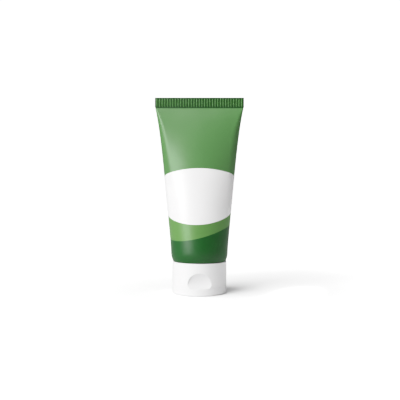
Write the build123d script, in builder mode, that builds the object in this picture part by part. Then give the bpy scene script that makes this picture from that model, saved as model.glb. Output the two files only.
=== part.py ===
from build123d import *
import os
from math import asin, cos, degrees, pi, radians, sin, sqrt

# A laminate squeeze tube with a flip-top cap, standing on the cap, in millimetres.
# The origin is the centre of the lid's flat end, and +Z runs up to the welded end.
# The thumb recess faces -Y and the living hinge is at +Y.

# Sleeve: a round tube of laminate film, drawn in at its foot and pressed flat at its top
tube_diameter = 40.0
sleeve_wall = 0.5
overall_height = 137.3
crimp_height = 7.4
foot_height = 6.3             # height of the drawn-in foot that is bonded to the head
foot_radius = 14.5            # upper, gentle arc of the foot
curl_radius = 2.0             # lower, tight arc of the foot
foot_lip = 0.5                # flat edge inside the tight arc
ease_height = 3.0             # height over which the round tube starts to flatten
even_share = 0.82             # share of the flattening that grows evenly with height
late_power = 6                # how late the rest of the flattening comes
front_share = 0.6             # how much of each section the flatter front and back arcs take
loft_steps = 18               # sections from the round tube up to the crimp
loft_crowding = 1.5           # how much closer the sections stand near the crimp
arc_steps = 6                 # spans of each arc of a section
foot_shares = (0, 0.25, 0.5, 0.75, 1)
weld_lap = 1.2                # how far the inner faces are welded below the crimp

# Crimp: the two walls welded together and pressed between ribbed jaws
crimp_thickness = 0.8
rib_pitch = 1.87
rib_radius = 0.55
rib_height = 0.25
crimp_margin = 0.6

# Cap: one moulding with its lid, joined by a film at the back
cap_step = 1.0                # how far the cap's skirt stands in from the round tube
cap_height = 22.0
cap_wall = 1.3
cap_to_sleeve = 0.3
lid_height = 5.0
parting_gap = 0.05
end_wall = 1.3
deck_thickness = 1.5
rim_edge_radius = 0.25
end_edge_radius = 0.8

# Nozzle and plug
orifice_diameter = 5.0
nozzle_wall = 1.8
nozzle_length = 2.0
plug_wall = 0.8
plug_clearance = 0.2
plug_reach = 1.5
plug_tip_radius = 0.3

# Guide ring on the deck, which centres the closed lid
ring_width = 1.0
ring_height = 0.9
ring_clearance = 0.4

# Head: shoulder, bonded foot skirt and neck with a snap bead
neck_diameter = 16.2
neck_wall = 1.9
head_thickness = 0.9
bond_gap = 0.1
bead_radius = 0.6
bead_height = 0.35
bead_drop = 5.0               # from the deck up to the snap bead
snap_clearance = 0.2
chimney_wall = 1.3
chimney_height = 10.5

# Thumb recess in the front of the cap body
recess_width = 16.0
recess_height = 10.6          # above the parting plane
recess_corner = 1.6
recess_depth = 2.5
dish_centre_rise = 4.4        # deepest point above the parting plane
dish_radius = 9.0
dish_bow_radius = 80.0

# Living hinge
strap_width = 11.0
strap_thickness = 0.45
strap_reach = 1.4
strap_clearance = 0.05

# Paste
paste_gap = 0.08
head_space = 5.0              # left empty below the weld

# Places worked out from the sizes above
tube_radius = tube_diameter / 2
cap_radius = tube_radius - cap_step
half_flat = pi * tube_radius / 2
crimp_foot = overall_height - crimp_height
sleeve_bottom = cap_height + cap_to_sleeve
round_top = sleeve_bottom + foot_height
body_bottom = lid_height + parting_gap
deck_top = body_bottom + deck_thickness
orifice_radius = orifice_diameter / 2
neck_radius = neck_diameter / 2
neck_bore = neck_radius - neck_wall
chimney_bore = neck_radius + snap_clearance
bead_z = deck_top + bead_drop
head_inset = sleeve_wall + bond_gap
head_inner = head_inset + head_thickness
shoulder_top = sleeve_bottom + head_inner
nozzle_end = body_bottom - nozzle_length
plug_radius = orifice_radius - plug_clearance
plug_top = nozzle_end + plug_reach
recess_top = body_bottom + recess_height
dish_centre = body_bottom + dish_centre_rise
foot_angle = asin((foot_height - curl_radius) / (foot_radius - curl_radius))
foot_end_radius = tube_radius - foot_radius + (foot_radius - curl_radius) * cos(foot_angle)
curl_centre = sleeve_bottom + curl_radius
rib_count = int(2 * half_flat / rib_pitch)
ring_radius = cap_radius - cap_wall - ring_clearance
paste_top = crimp_foot - head_space


def arc_spline(centre, radius, start, end):
    """One arc of a section, as a spline through evenly spaced points from start to end, in degrees."""
    angles = [start + (end - start) * step / arc_steps for step in range(arc_steps + 1)]
    points = [centre + Vector(radius, 0).rotate(Axis.Z, angle) for angle in angles]
    tangents = [Vector(0, -1).rotate(Axis.Z, angle) for angle in (start, end)]
    return Spline(*points, tangents=tangents)


def oval(half_width, half_depth, side_arc, front_arc, angle):
    """Closed outline of four arcs: flatter at front and back, tighter at each side."""
    side_centre = Vector(half_width - side_arc, 0)
    front_centre = Vector(0, half_depth - front_arc)
    with BuildSketch() as outline:
        with BuildLine():
            arc_spline(front_centre, front_arc, 90 + angle, 90 - angle)
            arc_spline(side_centre, side_arc, 90 - angle, angle - 90)
            arc_spline(-front_centre, front_arc, angle - 90, -angle - 90)
            arc_spline(-side_centre, side_arc, -angle - 90, angle - 270)
        make_face()
    return outline.sketch


def tube_section(z, inset):
    """Horizontal section of the flattening tube, whose girth is the round tube's at every height."""
    rise = sqrt((z - round_top) ** 2 + ease_height**2) - ease_height
    full_rise = sqrt((crimp_foot - round_top) ** 2 + ease_height**2) - ease_height
    share = rise / full_rise
    even = even_share * share
    late = (1 - even_share) * share**late_power
    flat = (even + late) * (1 - sleeve_wall / tube_radius)
    half_width = tube_radius * (1 - flat) + half_flat * flat
    # At the lens angle the front and back arcs would meet in a sharp corner at each side.
    # It solves sin(angle) / angle = half_width / half_flat by the first terms of the sine's series.
    slack = 1 - half_width / half_flat
    lens_angle = sqrt(10 * (1 - sqrt(1 - 1.2 * slack)))
    angle = max(front_share * (1 - share**2) * lens_angle, radians(0.1))
    balance = pi / 2 * sin(angle) - angle
    front_arc = (half_width * (pi / 2 - angle) - half_flat * (1 - sin(angle))) / balance
    side_arc = (half_flat * sin(angle) - half_width * angle) / balance
    half_depth = front_arc - (front_arc - side_arc) * cos(angle)
    return oval(
        half_width - inset,
        half_depth - inset,
        side_arc - inset,
        front_arc - inset,
        degrees(angle),
    )


def foot_section(radius):
    """Horizontal section of the round foot, with its arcs as long as those of the tube above."""
    return oval(radius, radius, radius, radius, degrees(front_share * pi / 2))


def sleeve_sections(inset, top):
    """Heights and outlines of the sleeve's sections, from the foot's lower edge up to top."""
    sections = []
    for share in foot_shares:
        angle = pi / 2 - share * (pi / 2 - foot_angle)
        reach = curl_radius - inset
        radius = foot_end_radius + reach * cos(angle)
        sections.append((curl_centre - reach * sin(angle), foot_section(radius)))
    for share in foot_shares[1:-1]:
        angle = (1 - share) * foot_angle
        reach = foot_radius - inset
        radius = tube_radius - foot_radius + reach * cos(angle)
        sections.append((round_top - reach * sin(angle), foot_section(radius)))
    for step in range(loft_steps):
        z = crimp_foot - (crimp_foot - round_top) * (1 - step / loft_steps) ** loft_crowding
        sections.append((z, tube_section(z, inset)))
    sections.append((top, tube_section(top, inset)))
    return sections


def foot_line(inset):
    """The foot's profile, from the round tube down and in to its lower edge."""
    angle = degrees(foot_angle)
    with BuildLine() as line:
        upper = JernArc((tube_radius - inset, round_top), (0, -1), foot_radius - inset, -angle)
        JernArc(upper @ 1, upper % 1, curl_radius - inset, angle - 90)
    return line.line


def foot_shell(outer_inset, inner_inset):
    """Radial section of the foot between two insets, which revolves into a drawn-in ring."""
    with BuildSketch() as ring:
        with BuildLine():
            add(foot_line(outer_inset))
            add(foot_line(inner_inset))
            Line((tube_radius - outer_inset, round_top), (tube_radius - inner_inset, round_top))
            Line(
                (foot_end_radius, sleeve_bottom + outer_inset),
                (foot_end_radius, sleeve_bottom + inner_inset),
            )
        make_face()
    return ring.sketch


def ring_section(inner_radius, outer_radius, bottom, top):
    """Radial section of a plain ring, to be revolved."""
    with BuildSketch() as ring:
        with Locations((inner_radius, bottom)):
            Rectangle(outer_radius - inner_radius, top - bottom, align=Align.MIN)
    return ring.sketch


def thumb_dish(grow):
    """The thumb recess, or with a wall's thickness as grow, the pocket that backs it."""
    dish_axis = -(cap_radius - recess_depth + dish_radius)
    floor_radius = dish_radius + grow
    half_width = recess_width / 2
    arch_centre = recess_top - half_width
    bow_drop = dish_bow_radius - sqrt(dish_bow_radius**2 - recess_width**2)
    with BuildPart() as dish:
        with BuildSketch(Plane.XZ) as outline:
            with BuildLine():
                Line((-half_width, arch_centre), (-half_width, body_bottom))
                Line((-half_width, body_bottom), (half_width, body_bottom))
                Line((half_width, body_bottom), (half_width, arch_centre))
                ThreePointArc((half_width, arch_centre), (0, recess_top), (-half_width, arch_centre))
            make_face()
            fillet(outline.vertices().group_by(Axis.Y)[0], recess_corner)
            if grow:
                offset(amount=grow)
        extrude(amount=2 * cap_radius)
        with BuildSketch(Plane.XY.offset(dish_centre)):
            with BuildLine():
                Line((-recess_width, dish_axis), (-recess_width, dish_axis + floor_radius - bow_drop))
                ThreePointArc(
                    (-recess_width, dish_axis + floor_radius - bow_drop),
                    (0, dish_axis + floor_radius),
                    (recess_width, dish_axis + floor_radius - bow_drop),
                )
                Line((recess_width, dish_axis + floor_radius - bow_drop), (recess_width, dish_axis))
                Line((recess_width, dish_axis), (-recess_width, dish_axis))
            make_face()
        revolve(
            axis=Axis((0, dish_axis, dish_centre), (1, 0, 0)),
            mode=Mode.INTERSECT,
        )
    return dish.part


def strap_sketch(thickness, width):
    """Plan of the hinge film: a short arc of the cap's outer skin at the back."""
    with BuildSketch() as plan:
        Circle(cap_radius)
        Circle(cap_radius - thickness, mode=Mode.SUBTRACT)
        with Locations((0, cap_radius)):
            Rectangle(width, cap_radius, mode=Mode.INTERSECT)
    return plan.sketch


# Sleeve: film tube, drawn-in foot and ribbed weld in one piece
with BuildPart() as sleeve:
    for z, outline in sleeve_sections(0, crimp_foot):
        with BuildSketch(Plane.XY.offset(z)):
            add(outline)
    loft()
    for z, outline in sleeve_sections(sleeve_wall, crimp_foot - weld_lap):
        with BuildSketch(Plane.XY.offset(z)):
            add(outline)
    loft(mode=Mode.SUBTRACT)
    with BuildSketch(Plane.XY.offset(sleeve_bottom)):
        Circle(foot_end_radius - foot_lip)
    extrude(amount=2 * sleeve_wall, mode=Mode.SUBTRACT)
    with BuildSketch(Plane.XY.offset(crimp_foot)):
        Rectangle(2 * half_flat, crimp_thickness)
    extrude(amount=crimp_height)
    with BuildSketch(Plane.XY.offset(crimp_foot + crimp_margin)):
        rib_offset = crimp_thickness / 2 + rib_height - rib_radius
        with Locations((0, -rib_offset)):
            with GridLocations(rib_pitch, rib_pitch, rib_count, 1):
                Circle(rib_radius)
        with Locations((0, rib_offset)):
            with GridLocations(rib_pitch, rib_pitch, rib_count - 1, 1):
                Circle(rib_radius)
    extrude(amount=crimp_height - 2 * crimp_margin)

# Head: bonded skirt, shoulder plate and neck with its snap bead
with BuildPart() as head:
    with BuildSketch(Plane.XZ):
        add(foot_shell(head_inset, head_inner))
        add(ring_section(neck_bore, foot_end_radius, sleeve_bottom + head_inset, shoulder_top))
        add(ring_section(neck_bore, neck_radius, deck_top, shoulder_top))
        with Locations((neck_radius + bead_height - bead_radius, bead_z)):
            Circle(bead_radius)
    revolve(axis=Axis.Z)

# Cap body: outer skirt, deck, nozzle, guide ring and the chimney that snaps over the neck
with BuildPart() as recess_backing:
    add(thumb_dish(cap_wall))
    with Locations((0, 0, body_bottom)):
        Cylinder(
            cap_radius,
            cap_height - body_bottom,
            align=(Align.CENTER, Align.CENTER, Align.MIN),
            mode=Mode.INTERSECT,
        )

with BuildPart() as cap_body:
    with BuildSketch(Plane.XZ):
        add(ring_section(cap_radius - cap_wall, cap_radius, body_bottom, cap_height))
        add(ring_section(orifice_radius, cap_radius - cap_wall, body_bottom, deck_top))
        add(ring_section(orifice_radius, orifice_radius + nozzle_wall, nozzle_end, deck_top))
        add(ring_section(ring_radius - ring_width, ring_radius, body_bottom - ring_height, deck_top))
        add(ring_section(chimney_bore, chimney_bore + chimney_wall, deck_top, deck_top + chimney_height))
        with Locations((neck_radius + bead_height - bead_radius, bead_z)):
            Circle(bead_radius + snap_clearance, mode=Mode.SUBTRACT)
    revolve(axis=Axis.Z)
    fillet(cap_body.edges().group_by(Axis.Z)[-1].sort_by(SortBy.LENGTH)[-1], rim_edge_radius)
    add(recess_backing.part)
    add(thumb_dish(0), mode=Mode.SUBTRACT)
    with BuildSketch(Plane.XY.offset(body_bottom)):
        add(strap_sketch(strap_thickness + strap_clearance, strap_width + 2 * strap_clearance))
    extrude(amount=strap_reach + strap_clearance, mode=Mode.SUBTRACT)

# Lid: end wall on which the tube stands, rim and hollow sealing plug
with BuildPart() as lid:
    with BuildSketch(Plane.XZ):
        add(ring_section(0, cap_radius, 0, end_wall))
        add(ring_section(cap_radius - cap_wall, cap_radius, 0, lid_height))
        add(ring_section(plug_radius - plug_wall, plug_radius, end_wall, plug_top))
    revolve(axis=Axis.Z)
    fillet(lid.edges().group_by(Axis.Z)[0], end_edge_radius)
    plug_edges = lid.edges().filter_by_position(Axis.Z, plug_top, plug_top)
    fillet(plug_edges.sort_by(SortBy.RADIUS)[-1], plug_tip_radius)
    with BuildSketch(Plane.XY.offset(lid_height)):
        add(strap_sketch(strap_thickness + strap_clearance, strap_width + 2 * strap_clearance))
    extrude(amount=-strap_reach - strap_clearance, mode=Mode.SUBTRACT)

# Hinge strap: the thin film of the moulding that joins lid and cap body at the back
with BuildPart() as hinge_strap:
    with BuildSketch(Plane.XY.offset(lid_height - strap_reach)):
        add(strap_sketch(strap_thickness, strap_width))
    extrude(amount=2 * strap_reach + parting_gap)

# Paste: fills the sleeve, the neck and the orifice down to the plug
with BuildPart() as paste:
    for z, outline in sleeve_sections(sleeve_wall + paste_gap, crimp_foot - weld_lap):
        with BuildSketch(Plane.XY.offset(z)):
            add(outline)
    loft()
    split(bisect_by=Plane.XY.offset(paste_top), keep=Keep.BOTTOM)
    split(bisect_by=Plane.XY.offset(round_top), keep=Keep.TOP)
    with BuildSketch(Plane.XZ):
        with BuildLine():
            add(foot_line(head_inner + paste_gap))
            Polyline(
                (foot_end_radius, shoulder_top + paste_gap),
                (0, shoulder_top + paste_gap),
                (0, round_top),
                (tube_radius - head_inner - paste_gap, round_top),
            )
        make_face()
        add(ring_section(0, neck_bore - paste_gap, deck_top + paste_gap, round_top))
        add(ring_section(0, orifice_radius - paste_gap, plug_top + paste_gap, round_top))
    revolve(axis=Axis.Z)

sleeve.part.label = "sleeve"
head.part.label = "head"
cap_body.part.label = "cap_body"
lid.part.label = "lid"
hinge_strap.part.label = "hinge_strap"
paste.part.label = "paste"

os.makedirs("parts", exist_ok=True)
export_step(sleeve.part, "parts/sleeve.step")
export_step(head.part, "parts/head.step")
export_step(cap_body.part, "parts/cap_body.step")
export_step(lid.part, "parts/lid.step")
export_step(hinge_strap.part, "parts/hinge_strap.step")
export_step(paste.part, "parts/paste.step")
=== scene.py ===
import math

import bpy
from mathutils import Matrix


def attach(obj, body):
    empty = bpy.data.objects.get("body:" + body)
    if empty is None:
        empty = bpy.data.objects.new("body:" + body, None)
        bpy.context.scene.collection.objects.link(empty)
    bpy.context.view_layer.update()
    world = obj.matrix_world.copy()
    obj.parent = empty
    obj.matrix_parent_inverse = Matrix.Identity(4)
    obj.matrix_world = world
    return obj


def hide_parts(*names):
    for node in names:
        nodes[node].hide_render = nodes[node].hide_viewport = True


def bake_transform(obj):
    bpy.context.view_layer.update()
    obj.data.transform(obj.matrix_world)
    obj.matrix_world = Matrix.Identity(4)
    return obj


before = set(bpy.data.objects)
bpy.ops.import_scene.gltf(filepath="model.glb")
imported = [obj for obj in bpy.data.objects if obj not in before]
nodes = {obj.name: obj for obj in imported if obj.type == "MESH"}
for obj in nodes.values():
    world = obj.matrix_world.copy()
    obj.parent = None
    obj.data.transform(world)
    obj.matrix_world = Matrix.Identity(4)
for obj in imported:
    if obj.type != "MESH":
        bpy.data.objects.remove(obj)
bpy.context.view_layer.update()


# --- Sleeve ---------------------------------------------------------------
# The real sleeve is a rolled sheet of polyethylene laminate, printed and
# varnished flat, then welded down its back. It is round where it grips the
# head and is pressed flat and heat-sealed at the far end between ribbed jaws.

def wire(tree, source, target):
    """Joins a socket or a plain number to an input socket."""
    if isinstance(source, Field):
        source = source.socket
    if isinstance(source, bpy.types.NodeSocket):
        tree.links.new(source, target)
    else:
        target.default_value = source


class Field:
    """A value in a node tree. Arithmetic on it adds Math nodes."""

    def __init__(self, tree, socket):
        self.tree, self.socket = tree, socket

    def math(self, operation, *others):
        node = self.tree.nodes.new("ShaderNodeMath")
        node.operation = operation
        for target, value in zip(node.inputs, (self, *others)):
            wire(self.tree, value, target)
        return Field(self.tree, node.outputs[0])

    def __add__(self, other):
        return self.math("ADD", other)

    def __sub__(self, other):
        return self.math("SUBTRACT", other)

    def __mul__(self, other):
        return self.math("MULTIPLY", other)

    def __truediv__(self, other):
        return self.math("DIVIDE", other)

    def __pow__(self, other):
        return self.math("POWER", other)

    __radd__, __rmul__ = __add__, __mul__

    def __rsub__(self, other):
        return (self * -1) + other

    def sin(self):
        return self.math("SINE")

    def cos(self):
        return self.math("COSINE")

    def root(self):
        return self.math("SQRT")

    def over(self, other):
        return self.math("GREATER_THAN", other)

    def under(self, other):
        return self.math("LESS_THAN", other)

    def greater(self, other):
        return self.math("MAXIMUM", other)

    def unit(self):
        """Held between 0 and 1."""
        result = self * 1.0
        result.socket.node.use_clamp = True
        return result

    def soft_step(self, width):
        """0 below the edge and 1 above it, with a soft line this wide."""
        return (self / width + 0.5).unit()


def choose(test, when_true, when_false):
    """when_true where the 0-or-1 test is 1, and when_false elsewhere."""
    return test * (when_true - when_false) + when_false


def node_in(tree, kind, inputs=(), **settings):
    """A new node with its settings and its named or numbered inputs."""
    node = tree.nodes.new(kind)
    for name, value in settings.items():
        setattr(node, name, value)
    for name, value in dict(inputs).items():
        wire(tree, value, node.inputs[name])
    return node


def named_inputs(tree, numbers):
    """Gives a tree its named inputs, and hands them back as fields."""
    for name, value in numbers.items():
        kind = "NodeSocketInt" if isinstance(value, int) else "NodeSocketFloat"
        tree.interface.new_socket(
            name, in_out="INPUT", socket_type=kind
        ).default_value = value
    entry = tree.nodes.new("NodeGroupInput")
    return {name: Field(tree, entry.outputs[name]) for name in numbers}


def grown(name, tree, numbers, material):
    """A plain mesh grown by a Geometry Nodes tree with these inputs."""
    start = bpy.data.objects.new(name + "_start", bpy.data.meshes.new(name))
    bpy.context.scene.collection.objects.link(start)
    modifier = start.modifiers.new("Shape", "NODES")
    modifier.node_group = tree
    for item in tree.interface.items_tree:
        if item.in_out == "INPUT" and item.name in numbers:
            modifier[item.identifier] = numbers[item.name]
        elif item.in_out == "INPUT" and item.name == "Finish":
            modifier[item.identifier] = material
    bpy.context.view_layer.update()
    shape = start.evaluated_get(bpy.context.evaluated_depsgraph_get())
    mesh = bpy.data.meshes.new_from_object(shape)
    start.modifiers.remove(modifier)
    bpy.data.objects.remove(start)
    mesh.name = name
    piece = bpy.data.objects.new(name, mesh)
    bpy.context.scene.collection.objects.link(piece)
    return piece


sleeve_sizes = {
    "Tube Radius": 0.020,
    "Sleeve Wall": 0.0005,
    "Foot Bottom": 0.02208,
    "Round Top": 0.0286,
    "Foot Radius": 0.0145,
    "Curl Radius": 0.0012,
    "Crimp Foot": 0.1299,
    "Overall Height": 0.1373,
    "Crimp Thickness": 0.0008,
    "Ease Height": 0.003,
    "Even Share": 0.82,
    "Late Power": 6.0,
    "Front Share": 0.6,
    "Rib Pitch": 0.00187,
    "Rib Radius": 0.00053,
    "Rib Height": 0.00025,
    "Crimp Margin": 0.0006,
    "Front Ribs": 33,
    "Columns": 320,
}

# Rows of the skin: down the inside, under the foot and up the outside.
inner_rows, inner_foot_rows, foot_rows = 30, 8, 16
body_rows, crimp_rows, edge_rows = 84, 8, 3
inner_end = inner_rows
lip_in = inner_end + inner_foot_rows
lip_out = lip_in + 1
foot_end = lip_out + foot_rows
body_end = foot_end + body_rows
crimp_end = body_end + crimp_rows
row_count = crimp_end + edge_rows + 1

sleeve_tree = bpy.data.node_groups.new("Tube sleeve", "GeometryNodeTree")
size = named_inputs(sleeve_tree, sleeve_sizes)
sleeve_tree.interface.new_socket(
    "Finish", in_out="INPUT", socket_type="NodeSocketMaterial"
)
sleeve_tree.interface.new_socket(
    "Geometry", in_out="OUTPUT", socket_type="NodeSocketGeometry"
)
skin = node_in(
    sleeve_tree,
    "GeometryNodeMeshGrid",
    {"Size X": 1.0, "Size Y": 1.0, "Vertices X": size["Columns"] + 1,
     "Vertices Y": row_count},
)


def position_in(tree):
    """The three parts of each point's position, as fields."""
    split = node_in(tree, "ShaderNodeSeparateXYZ",
                    {0: tree.nodes.new("GeometryNodeInputPosition").outputs[0]})
    return [Field(tree, split.outputs[axis]) for axis in "XYZ"]


around, along_rows, _ = position_in(sleeve_tree)
row = (along_rows + 0.5) * (row_count - 1)

# Columns crowd towards the two folded edges, where the sheet turns tightest.
edge_crowding = 0.7
turn = around * (2 * math.pi)
turn = turn + (turn * 2).sin() * (edge_crowding / 2)

inside = (row / inner_end).unit()
under_inside = ((row - inner_end) / inner_foot_rows).unit()
under_outside = ((row - lip_out) / foot_rows).unit()
outside = ((row - foot_end) / body_rows).unit()
up_crimp = ((row - body_end) / crimp_rows).unit()
over_edge = ((row - crimp_end) / edge_rows).unit()
top_crowding = 1.4
climb = 1 - (1 - (1 - inside + outside)) ** top_crowding
half_flat = size["Tube Radius"] * (math.pi / 2)
half_row = 0.5
wall = size["Sleeve Wall"] * row.under(lip_in + half_row)
climb_height = (size["Crimp Foot"] - size["Round Top"]) * climb + size["Round Top"]

# The wedge: the girth stays the same while the section goes from a circle
# to a flat fold, with two arcs for its faces and two for its sides.
def rise(height):
    lift = height - size["Round Top"]
    ease = size["Ease Height"]
    return (lift * lift + ease * ease).root() - ease


share = (rise(climb_height) / rise(size["Crimp Foot"])).unit()
flat = (size["Even Share"] * share
        + (1 - size["Even Share"]) * share ** size["Late Power"])
flat = flat * (1 - size["Sleeve Wall"] / size["Tube Radius"])
half_width = size["Tube Radius"] * (1 - flat) + half_flat * flat

# The half-angle of a lens of two equal arcs, from the sine's first three terms.
slack = 1 - half_width / half_flat
sine_bend, sine_scale = 1.2, 10
lens_angle = ((1 - (1 - slack * sine_bend).greater(0.0).root())
              * sine_scale).root()
least_angle = math.radians(0.1)
front_angle = size["Front Share"] * (1 - share * share) * lens_angle
angle = front_angle.greater(least_angle)
balance = angle.sin() * (math.pi / 2) - angle
front_arc = (half_width * (math.pi / 2 - angle)
             - half_flat * (1 - angle.sin())) / balance
side_arc = (half_flat * angle.sin() - half_width * angle) / balance
half_depth = front_arc - (front_arc - side_arc) * angle.cos()

# Distance along one quarter of the girth, from a face's middle to an edge.
turned = turn.math("ABSOLUTE")
quarter = half_flat * (1 - (1 - turned / (math.pi / 2)).math("ABSOLUTE"))
right = turn.math("SIGN")
to_front = choose(turned.under(math.pi / 2), 1.0, -1.0)
on_front = quarter.under(front_arc * angle)
front_turn = quarter / front_arc
side_turn = angle + (quarter - front_arc * angle) / side_arc
wedge_x = choose(on_front, front_turn.sin() * (front_arc - wall),
                 half_width - side_arc + side_turn.sin() * (side_arc - wall))
wedge_y = choose(on_front,
                 half_depth - front_arc + front_turn.cos() * (front_arc - wall),
                 side_turn.cos() * (side_arc - wall))

# The foot: the round end curls in under the shoulder, down to its cut edge.
foot_angle = (under_outside - under_inside) * (math.pi / 2)
curl_end = -1 * ((size["Round Top"] - size["Foot Bottom"] - size["Curl Radius"])
                 / (size["Foot Radius"] - size["Curl Radius"])).math("ARCSINE")
curl_middle = (size["Tube Radius"] - size["Foot Radius"]
               + (size["Foot Radius"] - size["Curl Radius"]) * curl_end.cos())
in_curl = foot_angle.under(curl_end)
foot_radius = choose(
    in_curl,
    curl_middle + foot_angle.cos() * (size["Curl Radius"] - wall),
    size["Tube Radius"] - size["Foot Radius"]
    + foot_angle.cos() * (size["Foot Radius"] - wall),
)
foot_height = choose(
    in_curl,
    size["Foot Bottom"] + size["Curl Radius"]
    + foot_angle.sin() * (size["Curl Radius"] - wall),
    size["Round Top"] + foot_angle.sin() * (size["Foot Radius"] - wall),
)
level_angle = -1e-5
in_foot = foot_angle.under(level_angle)
foot_turn = quarter / size["Tube Radius"]
skin_x = choose(in_foot, foot_radius * foot_turn.sin(), wedge_x)
skin_y = choose(in_foot, foot_radius * foot_turn.cos(), wedge_y)

# The crimp: a flat seal thinner than the fold below it, with eased edges.
pinch = (up_crimp * crimp_rows).unit()
on_crimp = row.over(body_end - half_row)
thin = on_crimp * (size["Crimp Thickness"] / (half_depth * 2) - 1) * pinch + 1
edge_fall = (1 - over_edge * over_edge).greater(0.0).root()
closed = row.over(half_row) * edge_fall
crimp_climb = (size["Overall Height"] - size["Crimp Foot"]) * up_crimp
edge_ease = size["Crimp Thickness"] * 0.25
edge_lift = edge_ease * (over_edge - row.over(body_end + half_row) * up_crimp)
skin_z = choose(in_foot, foot_height, climb_height + crimp_climb + edge_lift)
skin_y = skin_y * thin * closed
wide = on_crimp * (half_flat / half_width - 1) * pinch + 1
skin_x = skin_x * wide

moved = node_in(
    sleeve_tree, "GeometryNodeSetPosition",
    {"Geometry": node_in(
        sleeve_tree, "GeometryNodeStoreNamedAttribute",
        {"Geometry": skin.outputs["Mesh"], "Name": "unrolled",
         "Value": node_in(sleeve_tree, "ShaderNodeCombineXYZ",
                          {"X": turn.cos(), "Y": turn.sin(),
                           "Z": skin_z}).outputs[0]},
        data_type="FLOAT_VECTOR", domain="POINT").outputs[0],
     "Position": node_in(sleeve_tree, "ShaderNodeCombineXYZ",
                         {"X": skin_x * right, "Y": skin_y * to_front * -1,
                          "Z": skin_z}).outputs[0]},
)
weld_reach = 2e-6
skin_closed = node_in(
    sleeve_tree, "GeometryNodeMergeByDistance",
    {"Geometry": moved.outputs[0], "Distance": weld_reach},
)

# One rib is a slim bar with rounded ends, half sunk in the seal's face.
rib_length = (size["Overall Height"] - size["Crimp Foot"]
              - size["Crimp Margin"] * 2)
rib_bar = node_in(
    sleeve_tree, "GeometryNodeMeshCylinder",
    {"Vertices": 12, "Side Segments": 8, "Radius": size["Rib Radius"],
     "Depth": rib_length},
)
bar_x, bar_y, bar_z = position_in(sleeve_tree)
end_power, end_slimming = 8, 0.35
slim = 1 - (bar_z / (rib_length / 2)) ** end_power * end_slimming
rib_shape = node_in(
    sleeve_tree, "GeometryNodeSetPosition",
    {"Geometry": rib_bar.outputs["Mesh"],
     "Position": node_in(
         sleeve_tree, "ShaderNodeCombineXYZ",
         {"X": bar_x * slim, "Y": bar_y * slim, "Z": bar_z}).outputs[0]},
)


def rib_row(count, side):
    """A row of ribs on the front (-1) or the back (1) of the seal."""
    first = (count - 1) * size["Rib Pitch"] * -0.5
    depth = (size["Crimp Thickness"] / 2 + size["Rib Height"]
             - size["Rib Radius"]) * side
    middle = (size["Overall Height"] + size["Crimp Foot"]) / 2
    line = node_in(
        sleeve_tree, "GeometryNodeMeshLine",
        {"Count": count,
         "Start Location": node_in(
             sleeve_tree, "ShaderNodeCombineXYZ",
             {"X": first, "Y": depth, "Z": middle}).outputs[0],
         "Offset": node_in(sleeve_tree, "ShaderNodeCombineXYZ",
                           {"X": size["Rib Pitch"]}).outputs[0]},
    )
    return node_in(
        sleeve_tree, "GeometryNodeInstanceOnPoints",
        {"Points": line.outputs["Mesh"], "Instance": rib_shape.outputs[0]},
    ).outputs[0]


# Ribs carry an unrolled X of 2, which no point of the skin has, so the print
# can tell them from the grooves.
rib_mark = 2.0
ribs = node_in(sleeve_tree, "GeometryNodeJoinGeometry")
for ribs_there in (rib_row(size["Front Ribs"], -1),
                   rib_row(size["Front Ribs"] - 1, 1)):
    sleeve_tree.links.new(ribs_there, ribs.inputs[0])
real_ribs = node_in(sleeve_tree, "GeometryNodeRealizeInstances",
                    {0: ribs.outputs[0]})
_, _, rib_level = position_in(sleeve_tree)
marked_ribs = node_in(
    sleeve_tree, "GeometryNodeStoreNamedAttribute",
    {"Geometry": real_ribs.outputs[0], "Name": "unrolled",
     "Value": node_in(sleeve_tree, "ShaderNodeCombineXYZ",
                      {"X": rib_mark, "Y": 0.0, "Z": rib_level}).outputs[0]},
    data_type="FLOAT_VECTOR", domain="POINT",
)
whole = node_in(sleeve_tree, "GeometryNodeJoinGeometry")
sleeve_tree.links.new(marked_ribs.outputs[0], whole.inputs[0])
sleeve_tree.links.new(skin_closed.outputs[0], whole.inputs[0])
real = node_in(sleeve_tree, "GeometryNodeRealizeInstances",
               {0: whole.outputs[0]})
smooth = node_in(sleeve_tree, "GeometryNodeSetShadeSmooth",
                 {0: real.outputs[0]})
finished = node_in(sleeve_tree, "GeometryNodeSetMaterial",
                   {0: smooth.outputs[0]})
entry = next(n for n in sleeve_tree.nodes if n.bl_idname == "NodeGroupInput")
sleeve_tree.links.new(entry.outputs["Finish"], finished.inputs["Material"])
leave = sleeve_tree.nodes.new("NodeGroupOutput")
sleeve_tree.links.new(finished.outputs[0], leave.inputs[0])


def speckle(tree, coordinates, scale, detail=2.0, roughness=0.5):
    """Noise as a field about 0.5."""
    noise = node_in(
        tree, "ShaderNodeTexNoise",
        {"Vector": coordinates, "Scale": scale, "Detail": detail,
         "Roughness": roughness},
    )
    return Field(tree, noise.outputs["Fac"])


def surface_group(name, numbers, outputs):
    """An empty shader group with named inputs and outputs."""
    group = bpy.data.node_groups.new(name, "ShaderNodeTree")
    fields = named_inputs(group, numbers)
    for label in outputs:
        group.interface.new_socket(
            label, in_out="OUTPUT", socket_type="NodeSocketFloat"
        )
    return group, fields, group.nodes.new("NodeGroupOutput")


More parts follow.
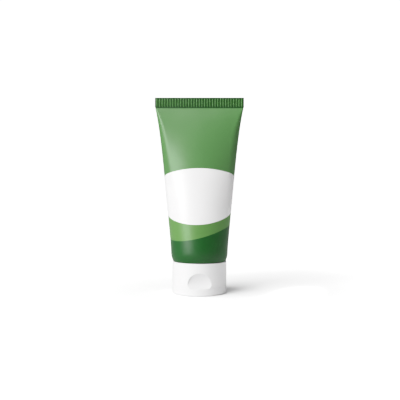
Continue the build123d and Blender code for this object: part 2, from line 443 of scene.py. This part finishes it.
# Handling marks, for anything that is picked up and put down: dull rubbed
# clouds that change the gloss, and hairline scuffs that lie across them.
handling, handled, handling_out = surface_group(
    "Handling marks",
    {"Cloud Size": 90.0, "Scuff Size": 700.0, "Strength": 1.0},
    ("Gloss Loss", "Relief"),
)
handling_place = handling.nodes.new("ShaderNodeTexCoord").outputs["Object"]
clouds = speckle(handling, handling_place, handled["Cloud Size"], 3.0)
stretched = node_in(
    handling, "ShaderNodeMapping",
    {"Vector": handling_place, "Rotation": (0.3, 0.5, 0.9),
     "Scale": (1.0, 0.06, 1.0)},
)
scuff_level, scuff_softness = 0.62, 0.12
scuffs = speckle(handling, stretched.outputs[0], handled["Scuff Size"], 4.0, 0.6)
scuffs = (scuffs - scuff_level).soft_step(scuff_softness)
wire(handling,
     ((clouds - 0.5) * 0.5 + scuffs * 0.18) * handled["Strength"],
     handling_out.inputs["Gloss Loss"])
wire(handling, (clouds * 0.2 - scuffs * 0.1) * handled["Strength"],
     handling_out.inputs["Relief"])


def finish(name):
    """A new material with its tree, its Principled shader and its output."""
    material = bpy.data.materials.new(name)
    material.use_nodes = True
    tree = material.node_tree
    tree.nodes.clear()
    shader = tree.nodes.new("ShaderNodeBsdfPrincipled")
    end = tree.nodes.new("ShaderNodeOutputMaterial")
    tree.links.new(shader.outputs[0], end.inputs["Surface"])
    return material, tree, shader


def placed(tree, group, values):
    """A shader group placed in a material with its own values."""
    node = node_in(tree, "ShaderNodeGroup", node_tree=group)
    for name, value in values.items():
        wire(tree, value, node.inputs[name])
    return {socket.name: Field(tree, socket) for socket in node.outputs}


def blended(tree, mask, below, above):
    """Colour below where the mask is 0, and above where it is 1."""
    mix = node_in(tree, "ShaderNodeMix", data_type="RGBA", clamp_factor=True)
    wire(tree, mask, mix.inputs["Factor"])
    wire(tree, below, mix.inputs[6])
    wire(tree, above, mix.inputs[7])
    return mix.outputs[2]


# The print: a green field, a white panel, a lighter green band and a dark
# green swoosh. Each line is a height that changes as the girth turns away from
# the front, so the fields run on round the sides. In the seal the grooves
# between the ribs are painted near-black green, as painted shade.
upper_green = (0.060, 0.158, 0.0455, 1)
band_green = (0.074, 0.186, 0.042, 1)
swoosh_green = (0.002, 0.062, 0.005, 1)
groove_shade_green = (0.004, 0.040, 0.003, 1)
rib_green = (0.032, 0.122, 0.018, 1)
panel_white = (0.66, 0.655, 0.655, 1)

laminate, print_tree, laminate_shader = finish("Printed laminate")
unrolled = node_in(print_tree, "ShaderNodeAttribute", attribute_name="unrolled")
flat_place = node_in(print_tree, "ShaderNodeSeparateXYZ",
                     {0: unrolled.outputs["Vector"]})
side_sine = Field(print_tree, flat_place.outputs["Y"])
front_cosine = Field(print_tree, flat_place.outputs["X"])
height = Field(print_tree, flat_place.outputs["Z"])
length = (side_sine * side_sine + front_cosine * front_cosine).root()
seal_height, seal_line, rib_test = 0.1298, 0.0003, 1.5
away = 1 - front_cosine / length
sideways = side_sine / length
far = away ** 4
ink_line = 0.00012
panel_top = 0.0867 - away * 0.0052 - far * 0.00075
panel_foot = 0.0483 + away * 0.0076 + far * 0.00075 + sideways * 0.0009
swoosh_top = 0.03926 + away * 0.00424 + sideways * 0.0049
in_panel = ((height - panel_foot).soft_step(ink_line)
            * (panel_top - height).soft_step(ink_line))
in_band = ((panel_top + panel_foot) * 0.5 - height).soft_step(ink_line)
in_swoosh = (swoosh_top - height).soft_step(ink_line)
ink = blended(print_tree, in_band, upper_green, band_green)
ink = blended(print_tree, in_panel, ink, panel_white)
ink = blended(print_tree, in_swoosh, ink, swoosh_green)
in_seal = (height - seal_height).soft_step(seal_line)
on_rib = length.over(rib_test)
# Painted shade: the seal between the ribs gets a near-black green for the grooves;
# the ribs keep their own green.
ink = blended(print_tree, in_seal, ink, groove_shade_green)
ink = blended(print_tree, on_rib, ink, rib_green)
object_place = print_tree.nodes.new("ShaderNodeTexCoord").outputs["Object"]
ink_cloud = speckle(print_tree, object_place, 60.0, 4.0)
ink_grain = speckle(print_tree, object_place, 5200.0, 2.0)
ink_unevenness = 0.10
ink_value = ((ink_cloud - 0.5) * ink_unevenness
             + (ink_grain - 0.5) * ink_unevenness + 1.0)
toned = node_in(print_tree, "ShaderNodeHueSaturation", {"Color": ink})
wire(print_tree, ink_value, toned.inputs["Value"])
wire(print_tree, toned.outputs[0], laminate_shader.inputs["Base Color"])
marks = placed(print_tree, handling,
               {"Cloud Size": 55.0, "Scuff Size": 420.0, "Strength": 1.0})
varnish_gloss, rubbed_share = 0.36, 0.25
wire(print_tree, marks["Gloss Loss"] * rubbed_share + varnish_gloss,
     laminate_shader.inputs["Roughness"])
laminate_shader.inputs["IOR"].default_value = 1.46
dimples = speckle(print_tree, object_place, 26.0, 2.0)
peel = speckle(print_tree, object_place, 1500.0, 2.0)
varnish = node_in(print_tree, "ShaderNodeBump",
                  {"Strength": 1.0, "Distance": 0.0004})
peel_depth, mark_depth = 0.02, 0.05
wire(print_tree, dimples + peel * peel_depth + marks["Relief"] * mark_depth,
     varnish.inputs["Height"])
wire(print_tree, varnish.outputs[0], laminate_shader.inputs["Normal"])

sleeve = grown("sleeve_printed", sleeve_tree, sleeve_sizes, laminate)
sharp_edge = math.radians(50)
sleeve.data.set_sharp_from_angle(angle=sharp_edge)
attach(sleeve, "tube")
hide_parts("sleeve")


# --- Cap and lid ----------------------------------------------------------
# The cap is one injection moulding in white polypropylene: a round body that
# snaps over the tube's neck, and a shallow lid that shuts the nozzle.
# The tube stands on the lid's flat face.

moulded, mould_size, mould_out = surface_group(
    "Moulded grain",
    {"Grain Size": 3000.0, "Flow Size": 60.0},
    ("Grain", "Flow"),
)
mould_place = moulded.nodes.new("ShaderNodeTexCoord").outputs["Object"]
wire(moulded, speckle(moulded, mould_place, mould_size["Grain Size"], 3.0, 0.6),
     mould_out.inputs["Grain"])
wire(moulded, speckle(moulded, mould_place, mould_size["Flow Size"], 3.0, 0.5),
     mould_out.inputs["Flow"])


def plastic(name, colour, shade, gloss, grain_size, grain_depth, handled_by):
    """Moulded plastic: flow marks in its tone, spark-eroded grain, scuffs."""
    material, tree, shader = finish(name)
    surface = placed(tree, moulded, {"Grain Size": grain_size})
    rubbed = placed(tree, handling, {"Strength": handled_by})
    wire(tree, blended(tree, surface["Flow"], colour, shade),
         shader.inputs["Base Color"])
    wire(tree, surface["Grain"] * 0.12 + rubbed["Gloss Loss"] * 0.2 + gloss - 0.06,
         shader.inputs["Roughness"])
    relief = node_in(tree, "ShaderNodeBump",
                     {"Strength": 0.6, "Distance": grain_depth})
    wire(tree, surface["Grain"] + rubbed["Relief"] * 0.6, relief.inputs["Height"])
    wire(tree, relief.outputs[0], shader.inputs["Normal"])
    return material, shader


cap_plastic, cap_shader = plastic(
    "Cap polypropylene", (0.68, 0.675, 0.675, 1), (0.65, 0.645, 0.65, 1),
    gloss=0.42, grain_size=2600.0, grain_depth=0.00003, handled_by=1.0,
)
cap_shader.inputs["Subsurface Weight"].default_value = 0.2
cap_shader.inputs["Subsurface Radius"].default_value = (1.0, 0.95, 0.85)
cap_shader.inputs["Subsurface Scale"].default_value = 0.002
for name in ("cap_body", "lid"):
    nodes[name].material_slots[0].material = cap_plastic


# --- Hinge strap ----------------------------------------------------------
# The lid hangs on a live hinge: a thin tongue of the cap's own plastic,
# left across the parting gap at the back and creased where it bends.

strap_half_width, strap_outer, strap_thickness = 0.0055, 0.019, 0.00045
strap_foot, strap_top, crease_height = 0.0036, 0.00645, 0.005
strap_columns, strap_rows = 24, 28
crease_reach, crease_depth = 0.00022, 0.00018
strap_points, strap_faces = [], []
for layer in (0, 1):
    for step in range(strap_rows + 1):
        level = strap_foot + (strap_top - strap_foot) * step / strap_rows
        crease = math.exp(-((level - crease_height) / crease_reach) ** 2)
        radius = strap_outer - (strap_thickness - crease_depth * crease) * layer
        for column in range(strap_columns + 1):
            across = strap_half_width * (2 * column / strap_columns - 1)
            strap_points.append(
                (across, math.sqrt(radius ** 2 - across ** 2), level)
            )


def strap_point(layer, step, column):
    return (layer * (strap_rows + 1) + step) * (strap_columns + 1) + column


for step in range(strap_rows):
    for column in range(strap_columns):
        corners = ((step, column), (step, column + 1),
                   (step + 1, column + 1), (step + 1, column))
        strap_faces.append([strap_point(0, *corner)
                            for corner in reversed(corners)])
        strap_faces.append([strap_point(1, *corner) for corner in corners])
for column in range(strap_columns):
    for step, flip in ((0, False), (strap_rows, True)):
        face = [strap_point(0, step, column), strap_point(0, step, column + 1),
                strap_point(1, step, column + 1), strap_point(1, step, column)]
        strap_faces.append(face[::-1] if flip else face)
for step in range(strap_rows):
    for column, flip in ((0, True), (strap_columns, False)):
        face = [strap_point(0, step, column), strap_point(0, step + 1, column),
                strap_point(1, step + 1, column), strap_point(1, step, column)]
        strap_faces.append(face[::-1] if flip else face)
strap_mesh = bpy.data.meshes.new("hinge_strap_bent")
strap_mesh.from_pydata(strap_points, [], strap_faces)
strap_mesh.shade_smooth()
strap_mesh.set_sharp_from_angle(angle=math.radians(40))
strap_mesh.materials.append(cap_plastic)
strap = bpy.data.objects.new("hinge_strap_bent", strap_mesh)
bpy.context.scene.collection.objects.link(strap)
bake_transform(strap)
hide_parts("hinge_strap")


# --- Head -----------------------------------------------------------------
# The head is moulded in polyethylene and fused to the sleeve's foot: a
# shoulder, a neck with a bead that the cap snaps over, and a bore.

head_plastic, head_shader = plastic(
    "Head polyethylene", (0.80, 0.80, 0.78, 1), (0.76, 0.765, 0.75, 1),
    gloss=0.38, grain_size=1800.0, grain_depth=0.00002, handled_by=0.4,
)
head_shader.inputs["Subsurface Weight"].default_value = 0.2
head_shader.inputs["Subsurface Scale"].default_value = 0.0015
nodes["head"].material_slots[0].material = head_plastic


# --- Paste ----------------------------------------------------------------
# The paste is a stiff wet gel with fine chalk in it. It shows only as the
# small round face that waits in the nozzle when the lid is open.

paste, paste_tree, paste_shader = finish("Toothpaste")
paste_place = paste_tree.nodes.new("ShaderNodeTexCoord").outputs["Object"]
chalk = speckle(paste_tree, paste_place, 4200.0, 2.0)
swirl = speckle(paste_tree, paste_place, 320.0, 3.0)
wire(paste_tree,
     blended(paste_tree, (chalk - 0.35).soft_step(0.5),
             (0.70, 0.84, 0.80, 1), (0.86, 0.91, 0.89, 1)),
     paste_shader.inputs["Base Color"])
wire(paste_tree, swirl * 0.12 + 0.16, paste_shader.inputs["Roughness"])
paste_relief = node_in(paste_tree, "ShaderNodeBump",
                       {"Strength": 0.7, "Distance": 0.0003})
wire(paste_tree, swirl + chalk * 0.05, paste_relief.inputs["Height"])
wire(paste_tree, paste_relief.outputs[0], paste_shader.inputs["Normal"])
paste_shader.inputs["Subsurface Weight"].default_value = 0.3
paste_shader.inputs["Subsurface Scale"].default_value = 0.002
nodes["paste"].material_slots[0].material = paste


# --- Studio ---------------------------------------------------------------
# A white floor under a soft key light, high on the left and a little in front.
# A tall strip light draws the long highlight, and a small card low on the
# right and a pale room fill the shadows. The camera looks level.

floor_half, floor_level = 12.0, -2e-5
floor_mesh = bpy.data.meshes.new("studio_floor")
floor_mesh.from_pydata(
    [(x * floor_half, y * floor_half, floor_level)
     for x, y in ((-1, -1), (1, -1), (1, 1), (-1, 1))],
    [], [(0, 1, 2, 3)],
)
floor = bpy.data.objects.new("studio_floor", floor_mesh)
bpy.context.scene.collection.objects.link(floor)
floor_white, floor_tree, floor_shader = finish("Studio white")
floor_tone = speckle(floor_tree,
                     floor_tree.nodes.new("ShaderNodeTexCoord").outputs["Object"],
                     3.0)
wire(floor_tree, blended(floor_tree, floor_tone, (0.82, 0.82, 0.82, 1),
                         (0.83, 0.83, 0.83, 1)),
     floor_shader.inputs["Base Color"])
floor_shader.inputs["Roughness"].default_value = 0.9
floor_shader.inputs["Specular IOR Level"].default_value = 0.1
floor_shader.inputs["Emission Color"].default_value = (1, 1, 1, 1)
floor_reach = Field(floor_tree, node_in(
    floor_tree, "ShaderNodeVectorMath",
    {0: floor_tree.nodes.new("ShaderNodeTexCoord").outputs["Object"]},
    operation="LENGTH").outputs["Value"])

# The floor glows a little, and more away from the tube, to stay evenly white.
glow_start, glow_reach, glow_power = 0.018, 0.25, 0.65
glow_near, glow_gain = 0.05, 0.70
wire(floor_tree,
     ((floor_reach - glow_start) / glow_reach).unit() ** glow_power * glow_gain
     + glow_near,
     floor_shader.inputs["Emission Strength"])

# What the tube receives from the floor is dimmer, and dimmer still as a gloss.
floor_rays = floor_tree.nodes.new("ShaderNodeLightPath").outputs
floor_bounce = node_in(floor_tree, "ShaderNodeBsdfDiffuse")
bounce_white, gloss_dimming = 0.75, 0.35
wire(floor_tree,
     bounce_white - Field(floor_tree, floor_rays["Is Glossy Ray"]) * gloss_dimming,
     floor_bounce.inputs["Color"])
floor_mix = node_in(
    floor_tree, "ShaderNodeMixShader",
    {0: floor_rays["Is Camera Ray"],
     1: floor_bounce.outputs[0], 2: floor_shader.outputs[0]},
)
floor_end = next(n for n in floor_tree.nodes
                 if n.bl_idname == "ShaderNodeOutputMaterial")
floor_tree.links.new(floor_mix.outputs[0], floor_end.inputs["Surface"])
floor_mesh.materials.append(floor_white)

film_white = 1.75
room_fill, room_gloss_dimming = 0.17, 0.6
room = bpy.data.worlds.new("Room")
bpy.context.scene.world = room
room.use_nodes = True
room_tree = room.node_tree
room_tree.nodes.clear()
past_white = 1.05
seen = node_in(room_tree, "ShaderNodeBackground",
               {"Color": (1, 1, 1, 1), "Strength": film_white * past_white})
room_rays = room_tree.nodes.new("ShaderNodeLightPath").outputs
fill = node_in(room_tree, "ShaderNodeBackground", {"Color": (1, 1, 1, 1)})
as_gloss = Field(room_tree, room_rays["Is Glossy Ray"])
wire(room_tree, (1 - as_gloss * room_gloss_dimming) * room_fill,
     fill.inputs["Strength"])
room_mix = node_in(
    room_tree, "ShaderNodeMixShader",
    {0: room_rays["Is Camera Ray"], 1: fill.outputs[0], 2: seen.outputs[0]},
)
room_end = room_tree.nodes.new("ShaderNodeOutputWorld")
room_tree.links.new(room_mix.outputs[0], room_end.inputs["Surface"])



def light(name, kind, energy, turned, location=(0, 0, 0)):
    """A light in the studio, turned by these angles."""
    data = bpy.data.lights.new(name, kind)
    data.energy = energy
    lamp = bpy.data.objects.new(name, data)
    lamp.location, lamp.rotation_euler = location, turned
    bpy.context.scene.collection.objects.link(lamp)
    return lamp


key_azimuth, key_elevation = math.radians(58), math.radians(60)
key = light("key", "SUN", 4.3, (math.pi / 2 - key_elevation, 0, -key_azimuth))
key.data.angle = math.radians(50)

strip_azimuth, strip_distance, strip_height = math.radians(48), 1.6, 0.56
strip = light("strip", "AREA", 43.0, (math.radians(75), 0, -strip_azimuth),
              (-strip_distance * math.sin(strip_azimuth),
               -strip_distance * math.cos(strip_azimuth), strip_height))
strip.data.shape = "RECTANGLE"
strip.data.size, strip.data.size_y = 0.95, 1.5

card = light("card", "AREA", 0.015, (math.radians(15), math.radians(72), 0),
             (0.080, -0.008, 0.026))
card.data.size = 0.03
card.visible_camera = card.visible_glossy = False

camera_data = bpy.data.cameras.new("camera")
camera_data.sensor_width = 36
camera_data.lens = 47.6
camera_data.clip_start, camera_data.clip_end = 0.01, 100
camera = bpy.data.objects.new("camera", camera_data)
camera.location = (0.0004, -0.374, 0.065)
camera.rotation_euler = (math.pi / 2, 0, 0)
bpy.context.scene.collection.objects.link(camera)
bpy.context.scene.camera = camera

# A film curve that holds back the whites. Light is given as a share of white.
view = bpy.context.scene.view_settings
view.view_transform = "Standard"
view.use_curve_mapping = True
film = view.curve_mapping
film.white_level = (film_white, film_white, film_white)
film_curve = film.curves[3]
for scene_light, shown in ((0.08, 0.14), (0.17, 0.29), (0.283, 0.44),
                           (0.43, 0.64), (0.658, 0.825), (0.823, 0.905),
                           (0.93, 0.95)):
    film_curve.points.new(scene_light, shown)
film.update()
